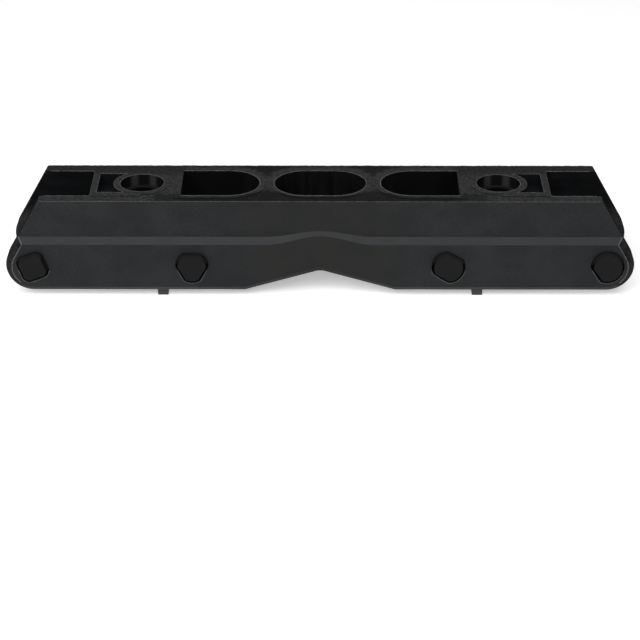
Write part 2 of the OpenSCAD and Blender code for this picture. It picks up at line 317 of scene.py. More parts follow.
def head_outline(station, angle):
    """Radius of a keyed head at each angle: the soft minimum of the disc's radius and of the distance to
    each flat along that angle."""
    disc_r, flat_r = 7.5 * MM, 6.3 * MM
    least_lean, sharpness = 0.05, 60
    facing = np.radians(HEAD_FLATS[station])[:, None]
    lean = np.maximum(np.cos(angle[None, :] - facing), least_lean)
    distances = np.vstack([np.full(len(angle), disc_r), flat_r / lean])
    return np.sum((distances / disc_r) ** -sharpness, axis=0) ** (-1 / sharpness) * disc_r


def arc(centre, radius, start, end, steps=24):
    """Points of an arc in a plane, from one angle in degrees to another."""
    angle = np.radians(np.linspace(start, end, steps + 1))
    return np.stack([centre[0] + radius * np.cos(angle), centre[1] + radius * np.sin(angle)], axis=-1)


def on_deck(outline, height=DECK_Z):
    """A flat outline laid at the height of the deck, or at another height."""
    outline = np.asarray(outline, float)
    return np.column_stack([outline, np.full(len(outline), height)])


def both_ends(path):
    """The path, and its mirror image at the other end of the frame."""
    return path, path * (-1, 1, 1)


def end_edge(side):
    """Edge between the flat face and the bevel of a lower panel, round the toe end: an arc about the outer
    axle, whose radius shrinks evenly with the angle as the bevel grows, then straight lines up to the band
    and over the band's end."""
    start, points = math.radians(-55), 25
    ahead, above = OUTER_X - DECK_HALF_LEN, DECK_Z - AXLE_Z
    lean = math.asin(END_R / math.hypot(ahead, above)) + math.atan2(ahead, above)
    angle = np.linspace(start, lean, points)
    share = (angle + math.pi / 2) / (lean + math.pi / 2)
    radius = END_R - PANEL_BEVEL - (END_BEVEL - PANEL_BEVEL) * share
    top_x = OUTER_X + (END_R - END_BEVEL - (FACE_TOP - AXLE_Z) * math.sin(lean)) / math.cos(lean)
    band_x = OUTER_X + (END_R - (BAND_TOP - AXLE_Z) * math.sin(lean)) / math.cos(lean)
    x = np.concatenate([OUTER_X + radius * np.cos(angle), [top_x, band_x]])
    y = np.full(len(x), PANEL_Y)
    y[-1] = DECK_HALF_W
    z = np.concatenate([AXLE_Z + radius * np.sin(angle), [FACE_TOP, BAND_TOP]])
    return np.stack([x, side * y, z], axis=-1)


def deck_burrs():
    """Ridges of flash round the openings of the deck and along its edges; along the deck's near edge and the
    end wells' edges the light ridges also stand for painted edge highlights.
    """
    draw = np.random.default_rng(DECK_SEED)
    ragged = 0.6
    round_height, edge_height = 0.16 * MM, 0.14 * MM
    short_of_end, rib_short_of_end = 0.3 * MM, 2 * MM
    low = DECK_Z - RELIEF
    well = arc((WELL_X, 0), GAP_HALF, 90, 270)
    well = np.vstack([[(WELL_END, GAP_HALF)], well, [(WELL_END, -GAP_HALF)]])
    pocket = np.vstack([arc((-POCKET_X, 0), GAP_HALF, 90, 270), arc((POCKET_X, 0), GAP_HALF, -90, 90)])
    meet = math.degrees(math.asin(SIDE_POCKET_HALF / RING_R))
    ring = arc((BOLT_X, 0), RING_R, meet, -meet)
    rib_corners = [(RIB_IN, -SIDE_POCKET_HALF), (RIB_IN, SIDE_POCKET_HALF)]
    pocket_sides = np.vstack([ring[-1:], rib_corners, ring[:1]])
    recess = arc((BOLT_X, 0), RECESS_R, 0, 360)[:-1]
    bend = arc((RIB_OUT + END_CORNER_R, GAP_HALF - END_CORNER_R), END_CORNER_R, 90, 180, steps=6)
    rib = np.vstack([[(DECK_HALF_LEN - rib_short_of_end, GAP_HALF)], bend])
    rib = np.vstack([rib, rib[::-1] * (1, -1)])
    shells = [burr(on_deck(pocket), UP, 0.22 * MM, round_height, ragged, draw)]
    for path in both_ends(on_deck(recess)):
        shells.append(burr(path, UP, 0.15 * MM, round_height, ragged, draw))
    for edge, at, width in (
        (well, DECK_Z, 0.22 * MM),
        (ring, DECK_Z, 0.12 * MM),
        (pocket_sides, DECK_Z, 0.14 * MM),
        # Along the end wells' edges the light ridge stands for a painted edge highlight
        (rib, low, 0.2 * MM),
    ):
        for path in both_ends(on_deck(edge, at)):
            shells.append(burr(path, UP, width, edge_height, ragged, draw, closed=False))
    end = DECK_HALF_LEN - short_of_end
    # The near edge's light ridge stands for a painted edge highlight; the far edge's is flash
    for side, width, height in ((-1, 0.15 * MM, 0.1 * MM), (1, 0.2 * MM, 0.4 * MM)):
        edge = [(-end, side * DECK_HALF_W), (end, side * DECK_HALF_W)]
        shells.append(burr(on_deck(edge, low), UP, width, height, ragged, draw, closed=False))
    return joined("deck_flash_and_highlights", shells)


def panel_wear_and_highlight_burrs():
    """Light ridges on the edges of the bevels round the ends of the lower panels, worn edges that also stand
    for painted highlights, and a light lip below each keyed head as a painted highlight, which follows the
    lower half of the head's outline at a distance that grows towards the bottom."""
    draw = np.random.default_rng(PANEL_SEED)
    edge_width, edge_height, edge_ragged = 0.28 * MM, 0.1 * MM, 0.5
    lip_width, lip_height, lip_ragged = 0.2 * MM, 0.06 * MM, 0.6
    lip_gap, lip_drop, lip_points = 0.45 * MM, 0.65 * MM, 60
    shells = []
    for side in (-1, 1):
        for path in both_ends(end_edge(side)):
            shells.append(burr(path, (0, side, 0), edge_width, edge_height, edge_ragged, draw, closed=False))
    # Painted highlight: a light lip that hugs the lower half of each head's outline as seen from the front
    angle = np.radians(np.linspace(-165, -15, lip_points))
    for station in STATIONS:
        radius = head_outline(station, angle) + lip_gap + lip_drop * np.sin(angle) ** 2
        x = middle("axle_" + station)[0] + radius * np.cos(angle)
        path = np.stack([x, np.full(lip_points, -PANEL_Y), AXLE_Z + radius * np.sin(angle)], axis=-1)
        shells.append(burr(path, (0, -1, 0), lip_width, lip_height, lip_ragged, draw, closed=False))
    return joined("panel_worn_and_highlight_edges", shells)


# Materials
NEUTRAL = (1, 1, 1)
# Sockets of the Mix node that carry colours
COLOUR_A, COLOUR_B, COLOUR_OUT = 6, 7, 2
# Where finishes of the plastic begin and where they are full: across the frame, or as heights
PANEL_FADE = (DECK_HALF_W - 0.7 * MM, DECK_HALF_W - 0.3 * MM)
BAND_FADE = (DECK_HALF_W - 0.3 * MM, DECK_HALF_W + 0.1 * MM)
WALL_FADE = (GAP_HALF + 0.1 * MM, GAP_HALF + 0.7 * MM)
DECK_FADE = (DECK_Z - 1.0 * MM, DECK_Z - 0.5 * MM)
BELOW_DECK_FADE = (DECK_Z - 0.4 * MM, DECK_Z - 0.8 * MM)
RECESS_FLOOR_FADE = (DECK_Z - 7 * MM, DECK_Z - 6 * MM)
UNDER_DECK_SHADE_FADE = (DECK_Z - 23.4 * MM, DECK_Z - 18.4 * MM)
TIP_HEIGHT_FADE = (AXLE_Z + 18.8 * MM, AXLE_Z + 6.8 * MM)
# The same along the frame, from its middle to either end
CREASE_SHADE_FADE = (0.7 * MM, 0.3 * MM)
MIDDLE_FADE = (26 * MM, 18 * MM)
GROOVE_WEAR_AND_SHEEN_FADE = (40 * MM, 30 * MM)
WAIST_FADE = (22 * MM, 48 * MM)
BOLT_STRIP_FADE = (60 * MM, 66 * MM)
PATCH_FADE = (79 * MM, 74 * MM)
PAST_RECESS_FADE = (BOLT_X + RECESS_R + 0.2 * MM, BOLT_X + RECESS_R + 1.2 * MM)
BEFORE_RIB_FADE = (RIB_IN + 1.2 * MM, RIB_IN + 0.2 * MM)
END_WELL_FADE = (RIB_OUT + 0.4 * MM, RIB_OUT + 4.4 * MM)
WALL_END_FADE = (DECK_HALF_LEN - 10.5 * MM, DECK_HALF_LEN - 6.5 * MM)
TIP_FADE = (DECK_HALF_LEN - 0.5 * MM, DECK_HALF_LEN + 5.5 * MM)
# The scratches lie on one side of the groove's crease
SCRATCH_START_FADE = (0.0, 1.0 * MM)
SCRATCH_END_FADE = (24 * MM, 1.5 * MM)


def grey(value, tint=NEUTRAL):
    """A grey colour, tinted."""
    return (value * tint[0], value * tint[1], value * tint[2], 1.0)


class Finish:
    """A procedural material on Object coordinates, with short helpers for its nodes."""

    def __init__(self, name, **sockets):
        self.material = bpy.data.materials.new(name)
        self.material.use_nodes = True
        self.tree = self.material.node_tree
        self.shader = self.tree.nodes["Principled BSDF"]
        for socket, value in sockets.items():
            self.shader.inputs[socket.replace("_", " ")].default_value = value
        self.place = self.add("ShaderNodeTexCoord").outputs["Object"]
        axes = self.add("ShaderNodeSeparateXYZ", Vector=self.place)
        self.x, self.y, self.z = axes.outputs
        normal = self.add("ShaderNodeNewGeometry").outputs["Normal"]
        self.up = self.add("ShaderNodeSeparateXYZ", Vector=normal).outputs["Z"]

    def add(self, kind, settings=None, **inputs):
        """A new node with its settings, and with values or links on its inputs."""
        node = self.tree.nodes.new(kind)
        for key, value in (settings or {}).items():
            setattr(node, key, value)
        for key, value in inputs.items():
            self.put(node.inputs[key.replace("_", " ")], value)
        return node

    def put(self, socket, value):
        """Links a socket to another one, or sets its value."""
        if isinstance(value, bpy.types.NodeSocket):
            self.tree.links.new(value, socket)
        else:
            socket.default_value = value

    def math(self, operation, *values, clamp=False):
        """Result of a Math node on up to three values."""
        node = self.add("ShaderNodeMath", {"operation": operation, "use_clamp": clamp})
        for socket, value in zip(node.inputs, values):
            self.put(socket, value)
        return node.outputs[0]

    def both(self, *shares):
        """Product of shares, which is 1 only where each of them is 1."""
        product = shares[0]
        for share in shares[1:]:
            product = self.math("MULTIPLY", product, share)
        return product

    def rest(self, share):
        """What a share leaves: 1 less the share."""
        return self.math("SUBTRACT", 1.0, share)

    def length(self, a, b):
        """Length of a step of a along one axis and of b along another."""
        square = self.math("ADD", self.math("MULTIPLY", a, a), self.math("MULTIPLY", b, b))
        return self.math("SQRT", square)

    def between(self, value, low, high, low_out=0.0, high_out=1.0):
        """A value mapped smoothly from the range low to high onto the range low_out to high_out."""
        node = self.add("ShaderNodeMapRange", {"interpolation_type": "SMOOTHSTEP"}, Value=value)
        self.put(node.inputs["From Min"], low)
        self.put(node.inputs["From Max"], high)
        self.put(node.inputs["To Min"], low_out)
        self.put(node.inputs["To Max"], high_out)
        return node.outputs[0]

    def noise(self, size, detail=2.0, stretch=(1, 1, 1), rough=0.5):
        """Noise with features of about the given size, drawn out along the axes by stretch."""
        mapping = self.add("ShaderNodeMapping", Vector=self.place)
        mapping.inputs["Scale"].default_value = [1 / (size * s) for s in stretch]
        node = self.add("ShaderNodeTexNoise", Vector=mapping.outputs[0], Scale=1.0)
        self.put(node.inputs["Detail"], detail)
        self.put(node.inputs["Roughness"], rough)
        return node.outputs["Fac"]

    def mix(self, share, a, b):
        """Colour a where share is 0, colour b where it is 1."""
        node = self.add("ShaderNodeMix", {"data_type": "RGBA"}, Factor=share)
        self.put(node.inputs[COLOUR_A], a)
        self.put(node.inputs[COLOUR_B], b)
        return node.outputs[COLOUR_OUT]

    def blend(self, share, a, b):
        """Number a where share is 0, number b where it is 1."""
        return self.add("ShaderNodeMix", Factor=share, A=a, B=b).outputs["Result"]

    def bump(self, height, distance, strength=1.0, normal=None):
        """The surface's normal bent by a height map, on top of an earlier bump where there is one."""
        node = self.add("ShaderNodeBump", Height=height, Distance=distance, Strength=strength)
        if normal is not None:
            self.put(node.inputs["Normal"], normal)
        return node.outputs[0]

    def wire(self, colour=None, roughness=None, normal=None):
        """Links what is given to the shader, and returns the material."""
        for socket, value in (("Base Color", colour), ("Roughness", roughness), ("Normal", normal)):
            if value is not None:
                self.put(self.shader.inputs[socket], value)
        return self.material

    def wire_pattern(self, pattern, colour, roughness, depth, strength):
        """Links a colour, with a roughness range and a bump that follow one noise pattern."""
        rough = self.between(pattern, 0.3, 0.7, *roughness)
        return self.wire(colour, rough, self.bump(pattern, depth, strength))


class MouldedPlastic(Finish):
    """Black moulded plastic, painted one region after another. A region is a share, 1 where it is full."""

    def __init__(self, name, shine):
        super().__init__(name, Specular_IOR_Level=shine, Specular_Tint=(0.88, 0.94, 1.0, 1.0))
        self.broad = self.noise(16 * MM, detail=3)
        self.speckle = self.noise(0.9 * MM, detail=3, rough=0.7)
        self.coarse = self.between(self.speckle, 0.36, 0.64)
        self.fleck = self.between(self.math("ADD", self.speckle, self.broad), 0.80, 1.20)
        self.mottle = self.between(self.noise(1.5 * MM, detail=5, rough=0.75), 0.40, 0.62)
        self.out_x = self.math("ABSOLUTE", self.x)
        self.out_y = self.math("ABSOLUTE", self.y)
        self.sides = self.between(self.out_y, *PANEL_FADE)
        self.inside = self.rest(self.sides)
        self.deck = self.both(self.between(self.z, *DECK_FADE), self.between(self.up, 0.7, 0.95))
        self.off_deck = self.rest(self.deck)
        self.colour = self.mix(self.broad, grey(0.0004), grey(0.0012))

    def cover(self, region, value, tint=NEUTRAL):
        """Covers a region with one grey."""
        self.colour = self.mix(region, self.colour, grey(value, tint))

    def paint(self, region, pattern, dark, light, tint=NEUTRAL):
        """Covers a region with a grey that runs from dark to light with a pattern."""
        shade = self.mix(pattern, grey(dark, tint), grey(light, tint))
        self.colour = self.mix(region, self.colour, shade)

    def paint_middle(self):
        """The middle pocket, streaked from top to bottom."""
        streaks = self.between(self.noise(3 * MM, detail=3, stretch=(1, 1, 14)), 0.35, 0.65)
        self.paint(self.between(self.out_x, *MIDDLE_FADE), streaks, 0.0014, 0.0036)

    def paint_panels(self, dark, light):
        """The side panels, with a painted sheen that makes them a little warmer and lighter round the groove,
        and the sloped band, which faces up and out, painted lighter where light falls on it from above."""
        warm, lit_band_tint = (2.0, 1.2, 0.3), (1.1, 1.01, 0.93)
        most_warmth = 0.8
        self.paint(self.sides, self.fleck, dark, light)
        # Painted sheen: round the groove the panel is painted warmer and lighter, where its curve catches
        # light
        waist_sheen = self.between(self.out_x, *WAIST_FADE, most_warmth, 0)
        self.paint(self.both(self.sides, waist_sheen), self.fleck, 0.0004, 0.0018, warm)
        # Painted light: the band faces up, and is painted lighter where light from above falls on it
        band = self.both(self.between(self.out_y, *BAND_FADE), self.between(self.up, 0.15, 0.4))
        self.paint(band, self.speckle, 0.0025, 0.007, lit_band_tint)

    def to_opening(self, along):
        """Distance to the edge of a long round-ended hole: from the end of its middle line, less its
        radius."""
        past = self.math("MAXIMUM", along, 0.0)
        return self.math("SUBTRACT", self.length(past, self.y), GAP_HALF)

    def wear(self):
        """How worn the deck is, from 0 to 1. A ragged border runs a few millimetres from the middle pocket
        and the wheel wells, closer on the near side and wider on the far side. Round the boot bolts the
        near strip is worn more than the far one, with a dark patch towards the wells."""
        run_together, ragged_by, near_less, far_more = 7 * MM, 9 * MM, 2.6 * MM, 1.4 * MM
        border_fade, strip_fade, near_wear, far_wear = (2.6 * MM, 5.2 * MM), (6 * MM, 15 * MM), 0.95, 0.42
        most_dark = 0.75
        noise = self.noise(3 * MM, detail=4, rough=0.7)
        ragged = self.math("MULTIPLY", self.math("SUBTRACT", noise, 0.5), ragged_by)
        ragged_x = self.math("ADD", self.out_x, ragged)
        ragged_y = self.math("ADD", self.y, ragged)
        to_pocket = self.to_opening(self.math("SUBTRACT", self.out_x, POCKET_X))
        to_well = self.to_opening(self.math("SUBTRACT", WELL_X, self.out_x))
        distance = self.math("SMOOTH_MIN", to_pocket, to_well, run_together)
        near = self.between(self.y, -8 * MM, -12 * MM)
        far = self.between(self.y, 8 * MM, 12 * MM)
        distance = self.math("ADD", distance, self.math("MULTIPLY", near, near_less))
        distance = self.math("SUBTRACT", distance, self.math("MULTIPLY", far, far_more))
        round_openings = self.between(self.math("ADD", distance, ragged), *border_fade, 1, 0)
        strips = self.between(ragged_y, *strip_fade, near_wear, far_wear)
        patch = self.between(ragged_x, *PATCH_FADE, 0, most_dark)
        patch = self.both(patch, self.between(ragged_y, -10 * MM, -14 * MM))
        round_bolts = self.both(strips, self.rest(patch))
        return self.blend(self.between(self.out_x, *BOLT_STRIP_FADE), round_openings, round_bolts)

    def paint_deck(self):
        """The deck, dark and mottled away from its openings, and worn light round them."""
        self.paint(self.deck, self.mottle, 0.0006, 0.0045)
        self.paint(self.both(self.deck, self.wear()), self.mottle, 0.012, 0.034)

    def paint_recesses(self):
        """The boot-bolt recesses, painted dark as painted shade, with two painted highlight streaks from top
        to bottom on the wall, and painted light on the floor where it meets the wall."""
        streak_x, streak_fade, lit_foot_fade = 4.3 * MM, (0.5 * MM, 2.5 * MM), (6 * MM, 9 * MM)
        between_streaks, lit_foot_share = 0.15, 0.45
        bolt_x = self.math("SUBTRACT", self.out_x, BOLT_X)
        from_bolt = self.length(bolt_x, self.y)
        within = self.between(from_bolt, RECESS_R + 0.3 * MM, RECESS_R + 0.6 * MM, 1, 0)
        recess = self.both(within, self.between(self.z, *RECESS_FLOOR_FADE), self.off_deck)
        off_streak = self.math("SUBTRACT", self.math("ABSOLUTE", bolt_x), streak_x)
        streak = self.between(self.math("ABSOLUTE", off_streak), *streak_fade, 1, between_streaks)
        flat = self.between(self.up, 0.2, 0.5)
        wall = self.both(streak, self.rest(flat))
        lit_foot = self.both(flat, self.between(from_bolt, *lit_foot_fade, 0, lit_foot_share))
        # Painted light and shade: dark over the recess, with highlight streaks on the wall and light at the
        # floor's edge
        self.paint(recess, self.math("ADD", wall, lit_foot), 0.0015, 0.026)

    def paint_ends(self):
        """Cool smears of painted reflection in the end wells, cool pockets beside the bolts' rings, the lower
        part of each wall's tip painted lighter with the top left dark where shade falls, and the slanted ends
        of the walls, painted lighter than their inner faces as a painted highlight."""
        cool = (0.86, 0.97, 1.18)
        # Painted reflection: faint cool smears on the end wells' walls
        smeared_reflection = self.between(self.noise(5 * MM, detail=4, stretch=(3, 1, 0.8), rough=0.6), 0.40, 0.75)
        end_well = self.both(self.between(self.out_x, *END_WELL_FADE), self.between(self.z, *BELOW_DECK_FADE))
        self.cover(self.both(smeared_reflection, end_well, self.inside), 0.0035, cool)
        past_recess = self.between(self.out_x, *PAST_RECESS_FADE)
        before_rib = self.between(self.out_x, *BEFORE_RIB_FADE)
        self.cover(self.both(past_recess, before_rib, self.off_deck, self.inside), 0.0044, cool)
        # Painted light and shade: the lower part of each wall's tip is painted lighter, the top stays dark
        # where shade falls
        lit_tips = self.both(self.between(self.out_x, *TIP_FADE), self.between(self.z, *TIP_HEIGHT_FADE))
        self.paint(self.both(lit_tips, self.inside), self.fleck, 0.005, 0.025)
        # Painted highlight: the slanted ends of the walls are painted lighter than their inner faces, as a
        # lit rim
        lit_wall_ends = self.both(self.between(self.out_y, *WALL_FADE), self.between(self.out_x, *WALL_END_FADE))
        self.paint(self.both(lit_wall_ends, self.inside, self.off_deck), self.fleck, 0.008, 0.022)

    def paint_underside(self):
        """The underside without the bevels of the panels: speckled, with painted shade that darkens it under
        the deck, rubbed and painted lighter along the groove as wear and a painted sheen, and with scratches
        beside the groove's crease, which carries a painted dark line of shade."""
        under = self.both(self.inside, self.between(self.up, -0.35, -0.75))
        self.paint(under, self.coarse, 0.016, 0.056)
        # Painted shade: darker deep under the deck, between the walls
        self.paint(self.both(under, self.between(self.z, *UNDER_DECK_SHADE_FADE)), self.coarse, 0.007, 0.028)
        # Wear and painted sheen: lighter along the groove's hollow
        self.paint(self.both(under, self.between(self.out_x, *GROOVE_WEAR_AND_SHEEN_FADE)), self.fleck, 0.085, 0.135)
        scratch = self.between(self.noise(0.5 * MM, detail=2, stretch=(16, 1, 1)), 0.56, 0.64)
        beside = self.both(self.between(self.x, *SCRATCH_END_FADE), self.between(self.x, *SCRATCH_START_FADE))
        self.cover(self.both(scratch, under, beside), 0.30)
        # Painted shade: a dark line along the groove's crease
        self.cover(self.both(under, self.between(self.out_x, *CREASE_SHADE_FADE)), 0.003)

    def finished(self):
        """Links the colour, a roughness that is higher on the deck, and the bumps of the grain and the
        deck."""
        rougher_deck = 0.3
        grain = self.noise(0.30 * MM, detail=3, rough=0.65)
        roughness = self.between(self.broad, 0.3, 0.7, 0.485, 0.535)
        roughness = self.math("ADD", roughness, self.math("MULTIPLY", self.deck, rougher_deck), clamp=True)
        normal = self.bump(grain, 0.03 * MM, 0.5)
        normal = self.bump(self.both(self.mottle, self.deck), 0.10 * MM, 0.7, normal)
        return self.wire(self.colour, roughness, normal)


def frame_plastic(name, shine, side_dark, side_light):
    """The body's plastic, with a given gloss and given greys on the side panels."""
    plastic = MouldedPlastic(name, shine)
    plastic.paint_middle()
    plastic.paint_panels(side_dark, side_light)
    plastic.paint_deck()
    plastic.paint_recesses()
    plastic.paint_ends()
    plastic.paint_underside()
    return plastic.finished()


def burr_and_highlight_plastic():
    """The thin plastic of burrs and edges, painted lighter than the faces: partly scuffing, partly a painted
    highlight along edges that catch light.
    """
    finish = Finish("burr_and_highlight_plastic", Specular_IOR_Level=0.3)
    speckle = finish.noise(0.8 * MM, detail=3, rough=0.7)
    colour = finish.mix(finish.between(speckle, 0.36, 0.64), grey(0.03), grey(0.10))
    return finish.wire_pattern(speckle, colour, roughness=(0.5, 0.65), depth=0.05 * MM, strength=0.5)


def brace_plastic():
    """Rough moulded plastic with streaks along the bar."""
    finish = Finish("brace_plastic", Specular_IOR_Level=0.3)
    streak = finish.noise(0.8 * MM, detail=4, stretch=(1, 5, 1), rough=0.7)
    colour = finish.mix(streak, grey(0.018), grey(0.036))
    return finish.wire_pattern(streak, colour, roughness=(0.5, 0.65), depth=0.08 * MM, strength=0.6)


def polished_steel():
    """Polished shaft with dark and light streaks along it: painted reflections of dark and bright
    surroundings.
    """
    finish = Finish("polished_steel", Metallic=1.0)
    lines = finish.noise(1.7 * MM, detail=2, stretch=(1, 90, 1))
    tint = (0.98, 1.0, 1.03)
    # Painted reflection: dark and light streaks along the shaft, as a chrome rod shows
    colour = finish.mix(finish.between(lines, 0.40, 0.62), grey(0.035, tint), grey(0.34, tint))
    return finish.wire_pattern(lines, colour, roughness=(0.10, 0.2), depth=0.004 * MM, strength=0.4)


def bush_steel():
    """Turned steel with fine turning lines round it."""
    finish = Finish("bush_steel", Metallic=1.0)
    lines = finish.noise(0.2 * MM, detail=2, stretch=(40, 1, 40))
    colour = finish.mix(lines, grey(0.28), grey(0.38))
    return finish.wire_pattern(lines, colour, roughness=(0.14, 0.26), depth=0.004 * MM, strength=0.4)


def black_metal():
    """Black heads with a fine satin speckle."""
    finish = Finish("black_metal", Specular_IOR_Level=0.10)
    speckle = finish.noise(0.5 * MM, detail=3, rough=0.7)
    tint = (0.95, 1.04, 1.0)
    colour = finish.mix(speckle, grey(0.002, tint), grey(0.0045, tint))
    return finish.wire_pattern(speckle, colour, roughness=(0.48, 0.6), depth=0.015 * MM, strength=0.4)


def shaded_rim_metal():
    """The heads' rims without gloss: painted black below and at the sides as painted shade, and painted a
    little lighter above as painted light.
    """
    finish = Finish("shaded_rim_metal", Specular_IOR_Level=0.0, Roughness=0.7)
    # Painted light and shade: lighter where the rim faces up, black where it faces down
    return finish.wire(finish.mix(finish.between(finish.up, 0.05, 0.35), grey(0.0008), grey(0.010)))


def seen_rays(tree):
    """A value that is 1 for a camera, a gloss or a glass ray, and 0 for the other rays."""
    ray = tree.nodes.new("ShaderNodeLightPath")
    total = ray.outputs["Is Camera Ray"]
    for kind in ("Is Glossy Ray", "Is Transmission Ray"):
        added = tree.nodes.new("ShaderNodeMath")
        added.operation = "ADD"
        added.use_clamp = True
        tree.links.new(total, added.inputs[0])
        tree.links.new(ray.outputs[kind], added.inputs[1])
        total = added.outputs[0]
    return total


def floor_paper():
    """Pale paper that glows a little where a camera, a gloss or a glass ray meets it. It lets a view from
    below through, and the light of the lamp under it."""
    paper, glow = 0.93, 0.38
    finish = Finish("floor_paper", Roughness=0.9, Specular_IOR_Level=0.0, Emission_Color=grey(1.0))
    finish.wire(grey(paper))
    tree = finish.tree
    glowing = finish.math("MULTIPLY", seen_rays(tree), glow)
    finish.put(finish.shader.inputs["Emission Strength"], glowing)
    shadow_ray = finish.add("ShaderNodeLightPath").outputs["Is Shadow Ray"]
    from_below = finish.add("ShaderNodeNewGeometry").outputs["Backfacing"]
    see_through = finish.add("ShaderNodeBsdfTransparent")
    either = finish.add("ShaderNodeMixShader", Fac=finish.math("MAXIMUM", from_below, shadow_ray))
    tree.links.new(finish.shader.outputs[0], either.inputs[1])
    tree.links.new(see_through.outputs[0], either.inputs[2])
    tree.links.new(either.outputs[0], tree.nodes["Material Output"].inputs["Surface"])
    return finish.material


# Pieces
COLUMNS = 96
BODY_ROUNDING = 0.3 * MM
BRACE_ROUNDING = 0.35 * MM
# A face looks along an axis where its normal's part along that axis is at least this
FACING = 0.97
# Beyond these places a face is on the outside of a wall, or on a wall's end
OUTSIDE_Y = 20 * MM
WALL_END_X = 118 * MM


def place(obj, node, body, material):
    """Gives a piece its finish and its body, and hides the imported node that it stands for."""
    obj.data.materials.append(material)
    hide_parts(node)
    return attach(obj, body)


def axle_shaft(station):
    """A shaft turned from its profile: closed end, chamfer, side, chamfer, and the bore for the screw."""
    bore_r, bore_depth = 3.05 * MM, 12 * MM
    chamfer, bore_chamfer, edge_cut = 0.6 * MM, 0.3 * MM, 0.12 * MM
    cone_depth, cone_tip = 0.8 * MM, 1.0 * MM
    low, high = reach("axle_" + station)
    x = (low[0] + high[0]) / 2
    radius = (high[0] - low[0]) / 2
    inner_r = 0.3 * radius
    bore_end = high[1] - bore_depth
    profile = [
        (inner_r, low[1]),
        (radius - chamfer, low[1]),
        (radius, low[1] + chamfer),
        (radius, high[1] - chamfer),
        (radius - chamfer, high[1]),
        (bore_r + bore_chamfer, high[1]),
        (bore_r, high[1] - bore_chamfer),
        (bore_r, bore_end),
        (inner_r, bore_end - cone_depth),
    ]
    rows = lathe_rows(x, eased(profile, edge_cut), COLUMNS)
    return shell_with_poles("shaft_" + station, rows, (x, low[1], AXLE_Z), (x, bore_end - cone_tip, AXLE_Z))


def keyed_head(station):
    """A disc with flats, whose profile runs from the socket over the back, the side and a flat chamfer to
    the face."""
    socket_r, socket_depth, edge = 4.02 * MM, 2.4 * MM, 0.2 * MM
    low, high = reach("key_head_" + station)
    x = middle("axle_" + station)[0]
    back, face = high[1], low[1]
    columns = 2 * COLUMNS
    outline = head_outline(station, turns(columns) * 2 * math.pi)
    # Each row: share of the outline, radius added to it, and place along Y
    sides = [
        (0, socket_r * 0.4, back - socket_depth),
        (0, socket_r, back - socket_depth),
        (0, socket_r, back - edge),
        (0, socket_r + edge, back),
        (1, -edge, back),
        (1, 0, back - edge),
    ]
    # Each row of the chamfer: how far in from the outline, and how far behind the face, in millimetres
    chamfer = ((0, 0.6), (0.05, 0.42), (0.16, 0.3), (0.7, 0.08), (0.88, 0))
    sides += [(1, -cut * MM, face + drop * MM) for cut, drop in chamfer]
    sides += [(share, 0, face) for share in (0.85, 0.6, 0.25)]
    share, added, y = (np.array(v, float)[:, None] for v in zip(*sides))
    radius = share * outline[None, :] + added
    rows = around_axle(x, radius, np.repeat(y, columns, axis=1))
    return shell_with_poles("head_" + station, rows, (x, back - socket_depth, AXLE_Z), (x, face, AXLE_Z))


def round_screw(station):
    """A screw: the shank's radius falls from its crest by a triangle wave of the distance along the axis
    less the share of a turn, which makes the thread, and the head ends in a six-sided socket."""
    shank_r, pitch, thread_depth, thread_rows = 3.0 * MM, 1.0 * MM, 0.45 * MM, 120
    thread_start, thread_stop, neck_start, neck_end = 0.6 * MM, 1.2 * MM, 1.0 * MM, 0.8 * MM
    head_height, head_chamfer, edge_cut = 3.2 * MM, 0.9 * MM, 0.25 * MM
    hex_half, hex_depth, hex_chamfer, hex_land = 2.0 * MM, 2.0 * MM, 0.15 * MM, 2.8 * MM
    tip_radii = np.array([[1.2 * MM], [2.2 * MM]])
    cone_depth, cone_tip = 0.3 * MM, 0.4 * MM
    low, high = reach("axle_screw_" + station)
    x = middle("axle_" + station)[0]
    head_r = (high[0] - low[0]) / 2
    top = high[1]
    seat = top - head_height
    turn = turns(COLUMNS)
    y_shank = np.linspace(low[1] + thread_start, seat - thread_stop, thread_rows)[:, None]
    phase = ((y_shank - low[1]) / pitch - turn[None, :]) % 1.0
    shank = shank_r - thread_depth * np.abs(2 * phase - 1)
    head = eased(
        [
            (shank_r - thread_depth, seat - neck_start),
            (shank_r, seat - neck_end),
            (shank_r, seat),
            (head_r, seat),
            (head_r, top - head_chamfer),
            (head_r - head_chamfer, top),
            (hex_land, top),
        ],
        edge_cut,
    )
    fold = np.abs((turn * 6) % 1.0 - 0.5) * math.pi / 3
    hexagon = (hex_half / np.cos(math.pi / 6 - fold))[None, :]
    socket = np.vstack([hexagon + hex_chamfer, hexagon, hexagon, hexagon * 0.5])
    socket_y = [top, top - hex_chamfer, top - hex_depth, top - hex_depth - cone_depth]
    tip = np.repeat(tip_radii, COLUMNS, axis=1)
    radius = np.vstack([tip, shank, np.repeat(head[:, :1], COLUMNS, axis=1), socket])
    along = np.concatenate([[low[1], low[1]], y_shank[:, 0], head[:, 1], socket_y])
    rows = around_axle(x, radius, np.repeat(along[:, None], COLUMNS, axis=1))
    bottom = top - hex_depth - cone_tip
    return shell_with_poles("screw_" + station, rows, (x, low[1], AXLE_Z), (x, bottom, AXLE_Z))


